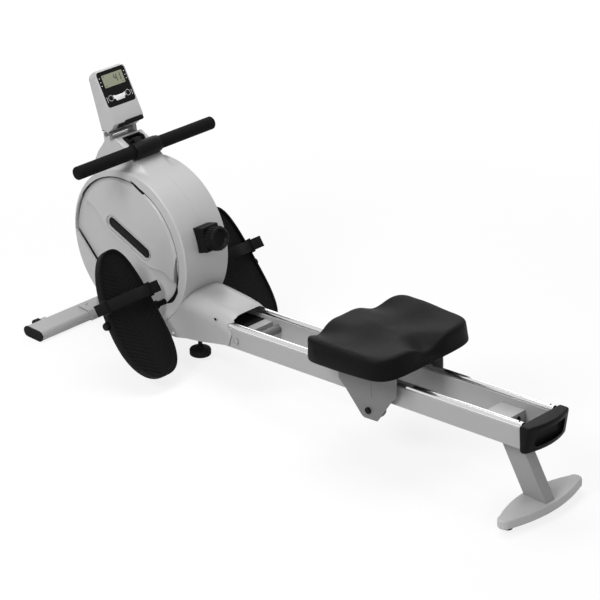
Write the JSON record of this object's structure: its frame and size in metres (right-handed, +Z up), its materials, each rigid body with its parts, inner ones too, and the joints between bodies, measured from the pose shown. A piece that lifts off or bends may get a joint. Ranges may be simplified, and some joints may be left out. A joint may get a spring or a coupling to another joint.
{
  "type": "magnetic rowing machine",
  "caption": "Magnetic rowing machine with a flywheel drum, tilting display, pull handle, pivoting foot plates and a padded seat that rolls on inclined rails.",
  "frame": {"origin": "on the floor, under the middle of the machine's length and width", "axes": "+X from the flywheel drum to the rear foot, -Y to the seated rower's left as the rower faces the drum, +Z up"},
  "size_m": [1.7184, 0.626, 0.7604],
  "materials": {
    "grey_paint": "satin",
    "leg_paint": "satin",
    "grey_plastic": "satin",
    "black_plastic": "satin",
    "black_gloss": "gloss",
    "black_rubber": "matte",
    "black_foam": "matte",
    "seat_skin": "satin",
    "webbing": "woven",
    "chrome": "polished",
    "steel": "zinc plated",
    "iron": "machined",
    "grey_nylon": "satin"
  },
  "bodies": {
    "frame": {"front_stabiliser": "grey_paint", "stabiliser_cap_left": "black_plastic", "stabiliser_cap_right": "black_plastic", "main_frame": "grey_paint", "drum_shell_left": "grey_plastic", "drum_shell_right": "grey_plastic", "side_cover_left": "grey_plastic", "side_cover_right": "grey_plastic", "badge_insert_left": "black_plastic", "badge_insert_right": "black_plastic", "flywheel_axle": "steel", "recoil_spring": "steel", "lower_fairing": "grey_plastic", "neck_cover": "grey_plastic", "tilt_pin": "black_plastic", "strap_guide": "black_plastic", "pull_strap": "webbing", "knob_base": "black_plastic", "pedal_bar": "steel", "beam_left": "grey_paint", "beam_right": "grey_paint", "rail_left": "chrome", "rail_right": "chrome", "cross_tube": "grey_paint", "assembly_bolt": "steel", "head_bracket": "grey_paint", "rear_leg": "leg_paint", "rear_foot": "leg_paint", "foot_pad_left": "black_rubber", "foot_pad_right": "black_rubber", "end_cap": "black_plastic"},
    "seat": {"seat_carriage": "grey_paint", "lower_axle": "steel", "seat_cushion": "seat_skin"},
    "front_left_roller": {"upper_roller_front_left": "grey_nylon"},
    "front_right_roller": {"upper_roller_front_right": "grey_nylon"},
    "rear_left_roller": {"upper_roller_rear_left": "grey_nylon"},
    "rear_right_roller": {"upper_roller_rear_right": "grey_nylon"},
    "low_left_roller": {"lower_roller_left": "grey_nylon"},
    "low_right_roller": {"lower_roller_right": "grey_nylon"},
    "handle": {"handlebar_tube": "steel", "grip_left": "black_foam", "grip_right": "black_foam", "handle_clamp": "black_plastic"},
    "spool": {"strap_spool": "black_plastic"},
    "guide": {"guide_roller": "steel"},
    "flywheel": {"flywheel": "iron"},
    "knob": {"resistance_knob": "black_plastic"},
    "magnets": {"magnet_arm": "steel"},
    "left_foot_plate": {"pedal_left": "black_plastic", "pedal_strap_left": "webbing"},
    "right_foot_plate": {"pedal_right": "black_plastic", "pedal_strap_right": "webbing"},
    "console": {"console_shell": "grey_plastic", "console_face": "black_gloss"},
    "left_button": {"button_left": "black_plastic"},
    "right_button": {"button_right": "black_plastic"},
    "left_wheel": {"transport_wheel_left": "black_plastic"},
    "right_wheel": {"transport_wheel_right": "black_plastic"},
    "leveller": {"levelling_foot": "black_plastic"}
  },
  "joints": [
    {"name": "seat_slide", "type": "slide", "parent": "frame", "child": "seat", "axis": [0.9973, 0, 0.0738], "range_m": [-0.36, 0.33]},
    {"name": "front_left_roller_turn", "type": "hinge", "parent": "seat", "child": "front_left_roller", "pos_m": [0.2537, -0.06, 0.2408], "axis": [0, 1, 0], "range_deg": [-1480, 1360]},
    {"name": "front_right_roller_turn", "type": "hinge", "parent": "seat", "child": "front_right_roller", "pos_m": [0.2537, 0.06, 0.2408], "axis": [0, 1, 0], "range_deg": [-1480, 1360]},
    {"name": "rear_left_roller_turn", "type": "hinge", "parent": "seat", "child": "rear_left_roller", "pos_m": [0.3853, -0.06, 0.2505], "axis": [0, 1, 0], "range_deg": [-1480, 1360]},
    {"name": "rear_right_roller_turn", "type": "hinge", "parent": "seat", "child": "rear_right_roller", "pos_m": [0.3853, 0.06, 0.2505], "axis": [0, 1, 0], "range_deg": [-1480, 1360]},
    {"name": "low_left_roller_turn", "type": "hinge", "parent": "seat", "child": "low_left_roller", "pos_m": [0.3277, -0.065, 0.1346], "axis": [0, 1, 0], "range_deg": [-635, 692]},
    {"name": "low_right_roller_turn", "type": "hinge", "parent": "seat", "child": "low_right_roller", "pos_m": [0.3277, 0.065, 0.1346], "axis": [0, 1, 0], "range_deg": [-635, 692]},
    {"name": "handle_pull", "type": "slide", "parent": "frame", "child": "handle", "axis": [1, 0, 0], "range_m": [0, 1.1]},
    {"name": "spool_turn", "type": "hinge", "parent": "frame", "child": "spool", "pos_m": [-0.5673, 0, 0.299], "axis": [0, 1, 0], "range_deg": [0, 1780]},
    {"name": "guide_roller_turn", "type": "hinge", "parent": "frame", "child": "guide", "pos_m": [-0.6183, 0, 0.578], "axis": [0, 1, 0], "range_deg": [0, 10520]},
    {"name": "flywheel_turn", "type": "hinge", "parent": "frame", "child": "flywheel", "pos_m": [-0.5673, -0.036, 0.299], "axis": [0, 1, 0], "continuous": true},
    {"name": "knob_turn", "type": "hinge", "parent": "frame", "child": "knob", "pos_m": [-0.3555, 0, 0.3678], "axis": [0.9511, 0, 0.309], "range_deg": [0, 270]},
    {"name": "magnet_swing", "type": "hinge", "parent": "frame", "child": "magnets", "pos_m": [-0.5324, 0, 0.4633], "axis": [0, 1, 0], "range_deg": [-4.1, 0]},
    {"name": "left_foot_plate_tilt", "type": "hinge", "parent": "frame", "child": "left_foot_plate", "pos_m": [-0.4453, -0.1945, 0.1728], "axis": [0, 1, 0], "range_deg": [-25, 5]},
    {"name": "right_foot_plate_tilt", "type": "hinge", "parent": "frame", "child": "right_foot_plate", "pos_m": [-0.4453, 0.1945, 0.1728], "axis": [0, 1, 0], "range_deg": [-25, 5]},
    {"name": "console_tilt", "type": "hinge", "parent": "frame", "child": "console", "pos_m": [-0.6783, 0, 0.593], "axis": [0, 1, 0], "range_deg": [-20, 25]},
    {"name": "left_button_press", "type": "slide", "parent": "console", "child": "left_button", "axis": [-0.866, 0, -0.5], "range_m": [0, 0.001], "stiffness_N_per_m": 400},
    {"name": "right_button_press", "type": "slide", "parent": "console", "child": "right_button", "axis": [-0.866, 0, -0.5], "range_m": [0, 0.001], "stiffness_N_per_m": 400},
    {"name": "left_wheel_turn", "type": "hinge", "parent": "frame", "child": "left_wheel", "pos_m": [-0.8477, -0.186, 0.0117], "axis": [0, 1, 0], "continuous": true},
    {"name": "right_wheel_turn", "type": "hinge", "parent": "frame", "child": "right_wheel", "pos_m": [-0.8477, 0.186, 0.0117], "axis": [0, 1, 0], "continuous": true},
    {"name": "leveller_turn", "type": "hinge", "parent": "frame", "child": "leveller", "pos_m": [-0.3783, 0, 0.08], "axis": [0, 0, 1], "range_deg": [-360, 360]}
  ],
  "couplings": [
    {"joint": "front_left_roller_turn", "follows": "seat_slide", "rad_per_m": 71.429},
    {"joint": "front_right_roller_turn", "follows": "seat_slide", "rad_per_m": 71.429},
    {"joint": "rear_left_roller_turn", "follows": "seat_slide", "rad_per_m": 71.429},
    {"joint": "rear_right_roller_turn", "follows": "seat_slide", "rad_per_m": 71.429},
    {"joint": "low_left_roller_turn", "follows": "seat_slide", "rad_per_m": -33.333},
    {"joint": "low_right_roller_turn", "follows": "seat_slide", "rad_per_m": -33.333},
    {"joint": "spool_turn", "follows": "handle_pull", "rad_per_m": 28.169},
    {"joint": "guide_roller_turn", "follows": "handle_pull", "rad_per_m": 166.67},
    {"joint": "magnet_swing", "follows": "knob_turn", "ratio": -0.014815}
  ]
}
